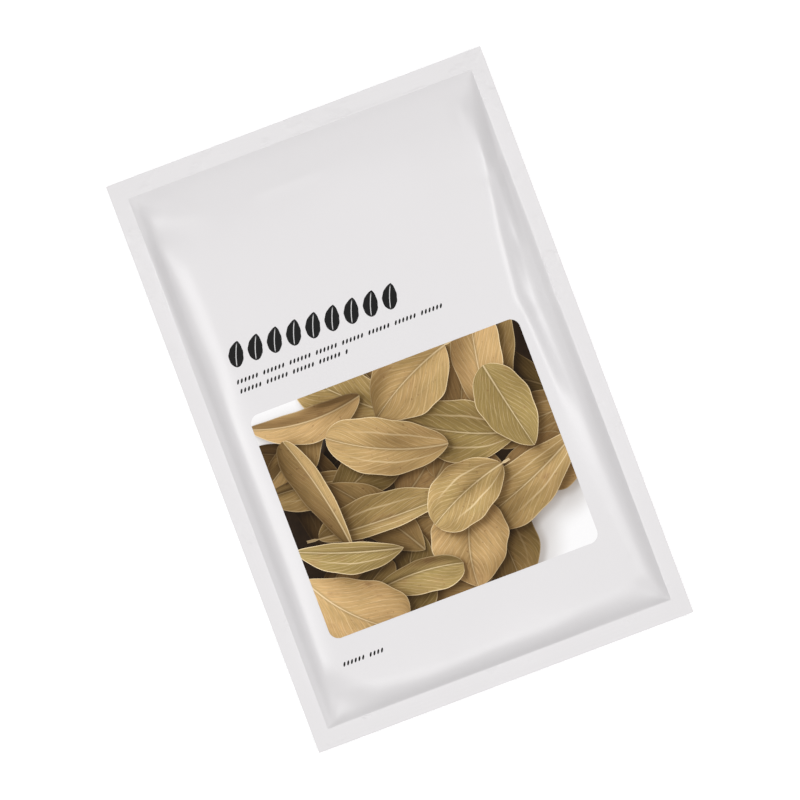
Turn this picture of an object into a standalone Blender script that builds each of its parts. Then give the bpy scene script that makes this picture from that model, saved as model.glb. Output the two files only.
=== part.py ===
"""Heat-sealed film pouch of dried leaves, lying on its back with its printed face up.

Two webs of film are sealed to each other along all four edges. Six dried leaves lie between
them in a stack, stalk ends up and down by turns, and hold the webs apart. Metres, +Z up. The
origin is under the middle of the pouch, on the surface that it lies on: +X runs across the
pouch and +Y to its top edge.
"""
import math
import random

import bmesh
import bpy
from mathutils import Vector

MM = 0.001

# Outline and film
POUCH_WIDTH = 120 * MM
POUCH_LENGTH = 181.5 * MM
SIDE_SEAL = 5 * MM
END_SEAL = 5.75 * MM
FILM_THICKNESS = 0.3 * MM
WEB_GAP = 0.3 * MM

# How the pouch swells: heights over the table, then the way each edge rises from its seal
SEAL_HEIGHT = 3.9 * MM
FRONT_RISE = 4.5 * MM
BACK_DROP = 6.4 * MM
FLAT_SPOT_BLEND = 1.2 * MM
SIDE_SHOULDER = 3.1 * MM
SIDE_FILL = 6.6 * MM
SIDE_FILL_SHARE = 0.64
BOTTOM_SHOULDER = 3.1 * MM
BOTTOM_FILL = 8.0 * MM
BOTTOM_FILL_SHARE = 0.70
SHOULDER_POWER = 3.0
TOP_FILL = 10.5 * MM
CORNER_POWER = 2.5

# Slow wave of the seals, which lie free over the table
SEAL_WAVE = 0.3 * MM
SEAL_WAVE_ACROSS = 64 * MM
SEAL_WAVE_ALONG = 75 * MM
SEAL_WAVE_PHASES = (0.6, 1.1)

# Film mesh: cells from a seal's inner line to the middle, packed towards the seal
CELLS_ACROSS_HALF = 11
CELLS_ALONG_HALF = 14
CELL_PACKING = 2.0

# Leaves
LEAF_COUNT = 6
LEAF_SEED = 4
LEAF_LENGTH = (119 * MM, 129 * MM)
LEAF_WIDTH = (62 * MM, 69 * MM)
LEAF_FAN = math.radians(13)
LEAF_SHIFT_ACROSS = 7 * MM
LEAF_SHIFT_ALONG = 4 * MM
LEAVES_CENTRE = -9 * MM
LEAF_CLEARANCE = 0.3 * MM
BLADE_THICKNESS = 0.6 * MM
BLADE_BASE_POWER = 1.0
BLADE_TIP_POWER = 0.56
TIP_HALF_WIDTH = 0.5 * MM
MARGIN_WAVE = 0.025
MARGIN_WAVES = 5
STALK_LENGTH = 9 * MM
STALK_HALF_WIDTH = 1.1 * MM
MIDRIB_HALF_WIDTH = 0.7 * MM
MIDRIB_HALF_THICKNESS = 0.5 * MM
VEIN_PAIRS = 10
VEIN_RELIEF = 0.2 * MM
VEIN_SLANT = 0.11
ROW_PACKING = 1.35
STALK_ROWS = 2
BLADE_COLUMNS_HALF = 4
RIPPLE = 0.35 * MM
RIPPLE_ACROSS = 46 * MM
RIPPLE_ALONG = 71 * MM

FILM_COLOUR = (0.78, 0.77, 0.77, 1.0)
LEAF_COLOUR = (0.27, 0.18, 0.08, 1.0)
FILM_ROUGHNESS = 0.3
LEAF_ROUGHNESS = 0.8
SHARP_ANGLE = math.radians(50)


def clear_scene():
    """Remove every object, mesh and material of the opened file."""
    for obj in list(bpy.data.objects):
        bpy.data.objects.remove(obj, do_unlink=True)
    for mesh in list(bpy.data.meshes):
        bpy.data.meshes.remove(mesh)
    for material in list(bpy.data.materials):
        bpy.data.materials.remove(material)


def make_material(name, colour, roughness):
    """Make a Principled material of one colour."""
    material = bpy.data.materials.new(name)
    material.use_nodes = True
    shader = material.node_tree.nodes["Principled BSDF"]
    shader.inputs["Base Color"].default_value = colour
    shader.inputs["Roughness"].default_value = roughness
    shader.inputs["Metallic"].default_value = 0.0
    material.diffuse_color = colour
    return material


def slow_rise(distance, reach):
    """Rise from 0 at a seal towards 1, steepest at the seal."""
    return 1 - math.exp(-distance / reach)


def steep_rise(distance, reach, power):
    """Rise from 0 at a seal to 1 over a round shoulder that is half up at reach."""
    ratio = (distance / reach) ** power
    return ratio / (1 + ratio)


def side_swell(distance):
    """Share of the full swell at a distance inside a side seal."""
    fill = slow_rise(distance, SIDE_FILL)
    shoulder = steep_rise(distance, SIDE_SHOULDER, SHOULDER_POWER)
    return SIDE_FILL_SHARE * fill + (1 - SIDE_FILL_SHARE) * shoulder


def bottom_swell(distance):
    """Share of the full swell at a distance inside the bottom seal, where the leaves have sunk."""
    fill = slow_rise(distance, BOTTOM_FILL)
    shoulder = steep_rise(distance, BOTTOM_SHOULDER, SHOULDER_POWER)
    return BOTTOM_FILL_SHARE * fill + (1 - BOTTOM_FILL_SHARE) * shoulder


def swell(x, y):
    """Share of the full swell at a point: 0 on the seals and almost 1 in the middle.

    Near a corner it follows the lesser of its two shares, so the seams meet there at a right angle.
    """
    inner_x = POUCH_WIDTH / 2 - SIDE_SEAL
    inner_y = POUCH_LENGTH / 2 - END_SEAL
    sides = side_swell(max(inner_x + x, 0)) * side_swell(max(inner_x - x, 0))
    ends = bottom_swell(max(inner_y + y, 0)) * slow_rise(max(inner_y - y, 0), TOP_FILL)
    if sides * ends == 0:
        return 0.0
    first, second = sides ** CORNER_POWER, ends ** CORNER_POWER
    either = first + second - first * second
    return sides * ends / either ** (1 / CORNER_POWER)


def seal_height(x, y):
    """Height of the plane between the two webs."""
    across = math.sin(math.tau * x / SEAL_WAVE_ACROSS + SEAL_WAVE_PHASES[0])
    along = math.sin(math.tau * y / SEAL_WAVE_ALONG + SEAL_WAVE_PHASES[1])
    return SEAL_HEIGHT + SEAL_WAVE * across * along


def smooth_maximum(first, second, blend):
    """Larger of two heights, with the corner between them rounded over blend."""
    overlap = max(blend - abs(first - second), 0) / blend
    return max(first, second) + overlap * overlap * blend / 4


def front_inside(x, y):
    """Height of the front web's inner face."""
    return seal_height(x, y) + WEB_GAP / 2 + FRONT_RISE * swell(x, y)


def back_outside(x, y):
    """Height of the back web's outer face, which is flat on the table in its middle."""
    hanging = seal_height(x, y) - WEB_GAP / 2 - FILM_THICKNESS - BACK_DROP * swell(x, y)
    return smooth_maximum(0.0, hanging, FLAT_SPOT_BLEND)


def packed_station(share, half_size, seal, cells_half):
    """Place of a film grid line, for a share of 0 to 1 across the whole film."""
    cells = cells_half + 1
    line = round(abs(share - 0.5) * 2 * cells)
    side = 1 if share >= 0.5 else -1
    if line == cells:
        return side * half_size
    inward = ((cells_half - line) / cells_half) ** CELL_PACKING
    return side * (half_size - seal) * (1 - inward)


def make_slab(name, columns, rows, shape, material):
    """Make a closed sheet from a grid of triangles, alike on both faces.

    shape(u, v, face) gives the place of a grid point, with u and v from 0 to 1 and face 0 on
    the lower face and 1 on the upper one.
    """
    sheet = bmesh.new()
    bmesh.ops.create_grid(sheet, x_segments=columns, y_segments=rows, size=0.5)
    bmesh.ops.triangulate(sheet, faces=sheet.faces[:])
    extruded = bmesh.ops.extrude_face_region(sheet, geom=sheet.faces[:])["geom"]
    upper = [item for item in extruded if isinstance(item, bmesh.types.BMVert)]
    bmesh.ops.translate(sheet, vec=(0, 0, 1), verts=upper)
    bmesh.ops.recalc_face_normals(sheet, faces=sheet.faces[:])
    for vertex in sheet.verts:
        vertex.co = shape(vertex.co.x + 0.5, vertex.co.y + 0.5, vertex.co.z)
    mesh = bpy.data.meshes.new(name)
    sheet.to_mesh(mesh)
    sheet.free()
    mesh.shade_smooth()
    mesh.set_sharp_from_angle(angle=SHARP_ANGLE)
    mesh.materials.append(material)
    obj = bpy.data.objects.new(name, mesh)
    bpy.context.scene.collection.objects.link(obj)
    return obj


def make_film(name, lower_face, material):
    """Make one web of film, whose lower face follows lower_face(x, y)."""
    def shape(u, v, face):
        x = packed_station(u, POUCH_WIDTH / 2, SIDE_SEAL, CELLS_ACROSS_HALF)
        y = packed_station(v, POUCH_LENGTH / 2, END_SEAL, CELLS_ALONG_HALF)
        return Vector((x, y, lower_face(x, y) + face * FILM_THICKNESS))

    columns = 2 * (CELLS_ACROSS_HALF + 1)
    rows = 2 * (CELLS_ALONG_HALF + 1)
    return make_slab(name, columns, rows, shape, material)


def blade_half_width(along, half_width):
    """Half width of a leaf blade, widest past its middle, with its margin gently waved."""
    along = min(max(along, 0.0), 1.0)
    widest = BLADE_BASE_POWER / (BLADE_BASE_POWER + BLADE_TIP_POWER)
    full = widest ** BLADE_BASE_POWER * (1 - widest) ** BLADE_TIP_POWER
    outline = along ** BLADE_BASE_POWER * (1 - along) ** BLADE_TIP_POWER / full
    wave = 1 + MARGIN_WAVE * math.sin(math.tau * MARGIN_WAVES * along)
    return max(half_width * outline * wave, TIP_HALF_WIDTH)


def layer_height(x, y, level):
    """Mid-height of a leaf layer, for a level from 0 on the back web to 1 under the front web."""
    reach = LEAF_CLEARANCE + MIDRIB_HALF_THICKNESS
    lowest = back_outside(x, y) + FILM_THICKNESS + reach
    highest = front_inside(x, y) - reach
    ripple = math.sin(math.tau * x / RIPPLE_ACROSS) * math.sin(math.tau * y / RIPPLE_ALONG)
    loose = 4 * level * (1 - level)
    return lowest + level * (highest - lowest) + RIPPLE * loose * ripple


def leaf_column(share):
    """Signed place across a leaf, from -1 to 1, and whether it lies beside or on the midrib."""
    side = 1 if share >= 0.5 else -1
    line = round(abs(share - 0.5) * 2 * BLADE_COLUMNS_HALF)
    return side, line


def leaf_point(share_across, share_along, face, length, half_width):
    """Place of a leaf's grid point in the leaf's own frame, with z from the leaf's mid-height.

    The grid's rows slant outwards and tipwards from the midrib, so that every second row is a
    side vein.
    """
    side, line = leaf_column(share_across)
    blade_rows = 2 * VEIN_PAIRS
    row = round(share_along * (STALK_ROWS + blade_rows)) - STALK_ROWS
    outward = max(line - 1, 0) / (BLADE_COLUMNS_HALF - 1)
    if row <= 0:
        along = 0.0
        y = STALK_LENGTH * (1 + row / STALK_ROWS)
        edge = STALK_HALF_WIDTH
    else:
        along = 1 - (1 - row / blade_rows) ** ROW_PACKING
        along += 4 * VEIN_SLANT * outward * along * (1 - along)
        y = STALK_LENGTH + along * (length - STALK_LENGTH)
        edge = max(blade_half_width(along, half_width), STALK_HALF_WIDTH * (1 - along))
    if row == blade_rows:
        edge = TIP_HALF_WIDTH
    rib_edge = min(MIDRIB_HALF_WIDTH, edge / 2)
    x = side * (rib_edge + outward * (edge - rib_edge)) if line else 0.0
    thickness = BLADE_THICKNESS / 2
    if line == 0:
        thickness += (MIDRIB_HALF_THICKNESS - thickness) * (1 - along)
    elif row > 0 and row % 2 == 0 and outward < 1:
        thickness += VEIN_RELIEF * (1 - outward)
    return Vector((x, y - length / 2, thickness if face else -thickness))


def make_leaf(index, draw, material):
    """Make one dried leaf with its stalk, midrib and side veins, laid in its layer."""
    length = draw.uniform(*LEAF_LENGTH)
    half_width = draw.uniform(*LEAF_WIDTH) / 2
    turn = math.pi * (index % 2) + draw.uniform(-LEAF_FAN, LEAF_FAN)
    centre_x = draw.uniform(-LEAF_SHIFT_ACROSS, LEAF_SHIFT_ACROSS)
    centre_y = LEAVES_CENTRE + draw.uniform(-LEAF_SHIFT_ALONG, LEAF_SHIFT_ALONG)
    level = index / (LEAF_COUNT - 1)

    def shape(u, v, face):
        point = leaf_point(u, v, face, length, half_width)
        x = centre_x + point.x * math.cos(turn) - point.y * math.sin(turn)
        y = centre_y + point.x * math.sin(turn) + point.y * math.cos(turn)
        return Vector((x, y, layer_height(x, y, level) + point.z))

    rows = STALK_ROWS + 2 * VEIN_PAIRS
    return make_slab(f"dried_leaf_{index + 1}", 2 * BLADE_COLUMNS_HALF, rows, shape, material)


def build():
    """Build the pouch and its contents."""
    clear_scene()
    make_film("front_film", front_inside, make_material("front_film", FILM_COLOUR, FILM_ROUGHNESS))
    make_film("back_film", back_outside, make_material("back_film", FILM_COLOUR, FILM_ROUGHNESS))
    draw = random.Random(LEAF_SEED)
    for index in range(LEAF_COUNT):
        material = make_material(f"dried_leaf_{index + 1}", LEAF_COLOUR, LEAF_ROUGHNESS)
        make_leaf(index, draw, material)


build()
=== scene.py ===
"""Looks of a heat-sealed film pouch of dried leaves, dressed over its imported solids.

The pouch lies on its back with its printed face up, under a camera that looks straight down.
Shapes are worked out in millimetres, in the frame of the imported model: +X across the pouch, +Y
to its top edge, +Z up. Each finished piece is turned into metres.
"""
from __future__ import annotations

import logging
import math
import random
from dataclasses import dataclass
from enum import Enum

import bmesh
import bpy
import numpy as np
from mathutils import Matrix, Vector


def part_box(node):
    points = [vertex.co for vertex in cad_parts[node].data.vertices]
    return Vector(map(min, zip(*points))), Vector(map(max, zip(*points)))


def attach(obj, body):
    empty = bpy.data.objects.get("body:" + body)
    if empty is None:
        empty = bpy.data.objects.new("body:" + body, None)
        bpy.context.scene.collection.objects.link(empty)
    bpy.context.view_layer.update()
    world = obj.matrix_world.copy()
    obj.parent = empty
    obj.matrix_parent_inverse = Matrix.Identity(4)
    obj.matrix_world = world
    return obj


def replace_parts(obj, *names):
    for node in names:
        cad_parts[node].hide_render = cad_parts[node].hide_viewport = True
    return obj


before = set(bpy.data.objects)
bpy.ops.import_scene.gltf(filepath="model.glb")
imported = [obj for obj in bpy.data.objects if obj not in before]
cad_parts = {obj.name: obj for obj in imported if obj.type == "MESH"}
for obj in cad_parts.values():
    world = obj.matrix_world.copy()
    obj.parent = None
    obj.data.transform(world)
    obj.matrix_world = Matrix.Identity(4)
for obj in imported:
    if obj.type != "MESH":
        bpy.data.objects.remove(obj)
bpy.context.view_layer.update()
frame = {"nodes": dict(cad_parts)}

LOG = logging.getLogger("pouch")
MM = 0.001
BODY = "root"
SHARP_ANGLE = math.radians(60.0)
TINY = 1e-12

Colour = tuple[float, float, float]
Point = tuple[float, float]
Numbers = np.ndarray


def node_box(name: str) -> tuple[Vector, Vector]:
    """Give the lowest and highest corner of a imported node.

    Args:
        name: The node's name.

    Returns:
        The two corners, in millimetres.
    """
    low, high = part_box(name)
    return low / MM, high / MM


def smooth_step(low: float, high: float, value: Numbers) -> Numbers:
    """Rise smoothly from 0 to 1 between two values.

    Args:
        low: Value below which the result is 0.
        high: Value above which the result is 1.
        value: Where to read the step.

    Returns:
        The step's height at each value.
    """
    share = np.clip((value - low) / (high - low), 0.0, 1.0)
    return share * share * (3.0 - 2.0 * share)


def slow_rise(distance: Numbers, reach: float) -> Numbers:
    """Rise from 0 at a seal towards 1, steepest at the seal.

    Args:
        distance: Distance inside the seal.
        reach: Distance at which nearly two thirds are reached.

    Returns:
        The share of the full height.
    """
    return 1.0 - np.exp(-distance / reach)


def steep_rise(distance: Numbers, reach: float, power: float) -> Numbers:
    """Rise from 0 at a seal to 1 over a round shoulder.

    Args:
        distance: Distance inside the seal.
        reach: Distance at which the shoulder is half up.
        power: How sharply the shoulder turns.

    Returns:
        The share of the full height.
    """
    ratio = (distance / reach) ** power
    return ratio / (1.0 + ratio)


@dataclass(frozen=True)
class Grain:
    """A noise pattern: its repeats to a unit of length, its finer grains and their strength."""

    across: float
    along: float
    detail: float = 2.0
    roughness: float = 0.5


class Workbench:
    """A Principled material under construction, with short calls for its nodes."""

    def __init__(self, name: str) -> None:
        """Start a material.

        Args:
            name: The material's name.
        """
        self.material = bpy.data.materials.new(name)
        self.material.use_nodes = True
        self.tree = self.material.node_tree
        self.shader = self.tree.nodes["Principled BSDF"]

    def node(self, kind: str, **settings: object) -> bpy.types.Node:
        """Add a node.

        Args:
            kind: The node's class.
            **settings: Properties to set on it.

        Returns:
            The new node.
        """
        made = self.tree.nodes.new(kind)
        for key, value in settings.items():
            setattr(made, key, value)
        return made

    def feed(self, socket: bpy.types.NodeSocket, value: object) -> None:
        """Link an output to a socket, or set the socket's own value.

        Args:
            socket: The input to feed.
            value: An output socket, or a plain value.
        """
        if isinstance(value, bpy.types.NodeSocket):
            self.tree.links.new(value, socket)
        else:
            socket.default_value = value

    def math(self, operation: str, *values: object) -> bpy.types.NodeSocket:
        """Add a Math node.

        Args:
            operation: The node's operation.
            *values: Its inputs, as sockets or numbers.

        Returns:
            The result's socket.
        """
        made = self.node("ShaderNodeMath", operation=operation)
        for socket, value in zip(made.inputs, values):
            self.feed(socket, value)
        return made.outputs[0]

    def plus(self, first: object, second: object) -> bpy.types.NodeSocket:
        """Add two numbers."""
        return self.math("ADD", first, second)

    def minus(self, first: object, second: object) -> bpy.types.NodeSocket:
        """Take the second number from the first."""
        return self.math("SUBTRACT", first, second)

    def times(self, first: object, second: object) -> bpy.types.NodeSocket:
        """Multiply two numbers."""
        return self.math("MULTIPLY", first, second)

    def size_of(self, value: object) -> bpy.types.NodeSocket:
        """Drop a number's sign."""
        return self.math("ABSOLUTE", value)

    def line(self, value: object, start: float, slope: float) -> bpy.types.NodeSocket:
        """Give a start plus a slope times a value."""
        return self.plus(self.times(value, slope), start)

    def step(self, value: object, low: float, high: float) -> bpy.types.NodeSocket:
        """Rise smoothly from 0 to 1 as a value goes from low to high, or fall if high is less.

        Args:
            value: The value that is read.
            low: Where the result is 0.
            high: Where the result is 1.

        Returns:
            The step's socket.
        """
        falls = high < low
        made = self.node("ShaderNodeMapRange", interpolation_type="SMOOTHSTEP")
        self.feed(made.inputs["Value"], value)
        made.inputs["From Min"].default_value = min(low, high)
        made.inputs["From Max"].default_value = max(low, high)
        made.inputs["To Min"].default_value = 1.0 if falls else 0.0
        made.inputs["To Max"].default_value = 0.0 if falls else 1.0
        return made.outputs["Result"]

    def between(self, share: object, first: object, second: object) -> bpy.types.NodeSocket:
        """Mix two colours.

        Args:
            share: Share of the second colour.
            first: The first colour, as a socket or an RGB triple.
            second: The second colour.

        Returns:
            The mixed colour's socket.
        """
        made = self.node("ShaderNodeMix", data_type="RGBA")
        self.feed(made.inputs[0], share)
        for socket, colour in ((made.inputs[6], first), (made.inputs[7], second)):
            plain = isinstance(colour, tuple)
            self.feed(socket, (*colour, 1.0) if plain else colour)
        return made.outputs[2]

    def tinted(self, colour: object, strength: object) -> bpy.types.NodeSocket:
        """Multiply a colour by a strength.

        Args:
            colour: The colour, as a socket or an RGB triple.
            strength: A number or a socket.

        Returns:
            The tinted colour's socket.
        """
        made = self.node("ShaderNodeVectorMath", operation="SCALE")
        self.feed(made.inputs[0], colour)
        self.feed(made.inputs["Scale"], strength)
        return made.outputs[0]

    def attribute(self, name: str) -> tuple[bpy.types.NodeSocket, ...]:
        """Read a vector attribute of the mesh.

        Args:
            name: The attribute's name.

        Returns:
            The sockets of its three parts.
        """
        read = self.node("ShaderNodeAttribute", attribute_name=name)
        return self.parts(read.outputs["Vector"])

    def parts(self, vector: object) -> tuple[bpy.types.NodeSocket, ...]:
        """Split a vector in its three parts.

        Args:
            vector: The vector's socket.

        Returns:
            The sockets of its parts.
        """
        split = self.node("ShaderNodeSeparateXYZ")
        self.feed(split.inputs[0], vector)
        return tuple(split.outputs)

    def place(self, across: float, along: float) -> bpy.types.NodeSocket:
        """Read object coordinates in units of a pattern.

        Args:
            across: Repeats of the pattern to the millimetre along X and Z.
            along: Repeats of the pattern to the millimetre along Y.

        Returns:
            The scaled coordinates' socket.
        """
        stretch = (across, along, across)
        coordinates = self.node("ShaderNodeTexCoord")
        scaled = self.node("ShaderNodeMapping")
        self.feed(scaled.inputs["Vector"], coordinates.outputs["Object"])
        scaled.inputs["Scale"].default_value = tuple(part / MM for part in stretch)
        return scaled.outputs[0]

    def joined(self, *parts: object) -> bpy.types.NodeSocket:
        """Join three numbers in a vector.

        Args:
            *parts: The three numbers or sockets.

        Returns:
            The vector's socket.
        """
        made = self.node("ShaderNodeCombineXYZ")
        for socket, value in zip(made.inputs, parts):
            self.feed(socket, value)
        return made.outputs[0]

    def noise(self, vector: object, grain: Grain) -> bpy.types.NodeSocket:
        """Add a noise whose grains are one unit of its vector wide.

        Args:
            vector: Where the noise is read.
            grain: The pattern, of which the finer grains are used.

        Returns:
            The noise's socket, from 0 to 1.
        """
        made = self.node("ShaderNodeTexNoise")
        self.feed(made.inputs["Vector"], vector)
        made.inputs["Scale"].default_value = 1.0
        made.inputs["Detail"].default_value = grain.detail
        made.inputs["Roughness"].default_value = grain.roughness
        return made.outputs["Fac"]

    def pattern(self, grain: Grain) -> bpy.types.NodeSocket:
        """Read a pattern at the surface's place on the pouch, with its repeats to the millimetre."""
        return self.noise(self.place(grain.across, grain.along), grain)

    def leaf_pattern(
        self, grain: Grain, along: object, across: object, seed: object
    ) -> bpy.types.NodeSocket:
        """Read a pattern at a place on a leaf.

        Args:
            grain: The pattern.
            along: The place along the leaf.
            across: The place across the leaf.
            seed: A number that tells the leaves apart.

        Returns:
            The noise's socket, from 0 to 1.
        """
        spot = self.joined(self.times(along, grain.along), self.times(across, grain.across), seed)
        return self.noise(spot, grain)

    def bump(self, height: object, depth: float) -> None:
        """Give the surface a fine relief.

        Args:
            height: The relief, in units of its depth.
            depth: The depth, in millimetres.
        """
        made = self.node("ShaderNodeBump")
        made.inputs["Distance"].default_value = depth * MM
        self.feed(made.inputs["Height"], height)
        self.feed(self.shader.inputs["Normal"], made.outputs[0])

    def gloss(self, roughness: object, specular: float) -> None:
        """Set how the surface shines.

        Args:
            roughness: The roughness, as a number or a socket.
            specular: The specular level.
        """
        self.feed(self.shader.inputs["Roughness"], roughness)
        self.shader.inputs["Specular IOR Level"].default_value = specular


@dataclass(frozen=True)
class FilmFinish:
    """Opaque pale film with a satin gloss, a fine skin, and pressed lines along its seals."""

    inner_x: float
    inner_y: float
    colour: Colour = (0.757, 0.739, 0.747)
    shade: Colour = (0.742, 0.724, 0.732)
    clouds: Grain = Grain(0.05, 0.04, 3.0)
    roughness: float = 0.30
    roughness_range: float = 0.05
    smears: Grain = Grain(0.5, 0.06, 4.0, 0.6)
    specular: float = 0.50
    skin: Grain = Grain(2.2, 2.2)
    skin_depth: float = 0.004
    seal_start: Point = (-0.1, 0.3)
    line_pitch: float = 1.25
    line_depth: float = 0.016
    line_wear: Grain = Grain(0.16, 0.05)
    line_wear_onset: Point = (0.32, 0.62)
    crumple: Grain = Grain(0.55, 0.9, 3.0, 0.6)
    puckers: Grain = Grain(0.11, 0.13, 1.0)
    pucker_onset: Point = (0.52, 0.64)
    pucker_depth: float = 0.22

    def seal_share(self, bench: Workbench, away: object, inner: float) -> bpy.types.NodeSocket:
        """Rise from 0 to 1 over the inner line of a seal."""
        return bench.step(away, inner + self.seal_start[0], inner + self.seal_start[1])

    def seal_relief(self, bench: Workbench) -> bpy.types.NodeSocket:
        """Give the relief of the seals: lines along the edge, and few puckers.

        Args:
            bench: The material under construction.

        Returns:
            The relief's socket, in millimetres.
        """
        x, y, _ = bench.parts(bench.place(1.0, 1.0))
        wide, high = bench.size_of(x), bench.size_of(y)
        on_side = self.seal_share(bench, wide, self.inner_x)
        on_end = self.seal_share(bench, high, self.inner_y)
        seal = bench.math("MAXIMUM", on_side, on_end)

        turn = math.tau / self.line_pitch
        side_line = bench.math("SINE", bench.times(wide, turn))
        end_line = bench.math("SINE", bench.times(high, turn))
        end_share = bench.times(on_end, bench.minus(1.0, on_side))
        lines = bench.plus(bench.times(side_line, on_side), bench.times(end_line, end_share))
        worn = bench.step(bench.pattern(self.line_wear), *self.line_wear_onset)
        lines = bench.times(bench.times(lines, worn), self.line_depth / 2)

        rare = bench.step(bench.pattern(self.puckers), *self.pucker_onset)
        pucker = bench.times(bench.times(bench.pattern(self.crumple), rare), self.pucker_depth)
        return bench.times(bench.plus(lines, pucker), seal)

    def make(self) -> bpy.types.Material:
        """Make the material.

        Returns:
            The material.
        """
        bench = Workbench("satin_film")
        colour = bench.between(bench.pattern(self.clouds), self.shade, self.colour)
        bench.feed(bench.shader.inputs["Base Color"], colour)
        least = self.roughness - self.roughness_range / 2
        smears = bench.line(bench.pattern(self.smears), least, self.roughness_range)
        bench.gloss(smears, self.specular)
        skin = bench.times(bench.pattern(self.skin), self.skin_depth)
        bench.bump(bench.plus(skin, self.seal_relief(bench)), 1.0)
        return bench.material


@dataclass(frozen=True)
class PictureGroundFinish:
    """White ground of the printed picture, darkened where the printed leaves shade it."""

    white: Colour = (0.985, 0.975, 0.98)
    dark: Colour = (0.016, 0.008, 0.003)
    haze: Colour = (0.34, 0.29, 0.25)
    litter: Grain = Grain(0.35, 0.35, 3.0)
    litter_light: Point = (0.4, 1.4)
    roughness: float = 0.30
    specular: float = 0.04

    def make(self) -> bpy.types.Material:
        """Make the material. Its light attribute holds the soft shade and the depth of the pile.

        Returns:
            The material.
        """
        bench = Workbench("print_ground")
        shade, depth, _ = bench.attribute("leaf_light")
        veil = bench.between(shade, self.white, self.haze)
        litter = bench.line(bench.pattern(self.litter), *self.litter_light)
        dark = bench.tinted(self.dark, litter)
        bench.feed(bench.shader.inputs["Base Color"], bench.between(depth, veil, dark))
        bench.gloss(self.roughness, self.specular)
        return bench.material


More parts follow.
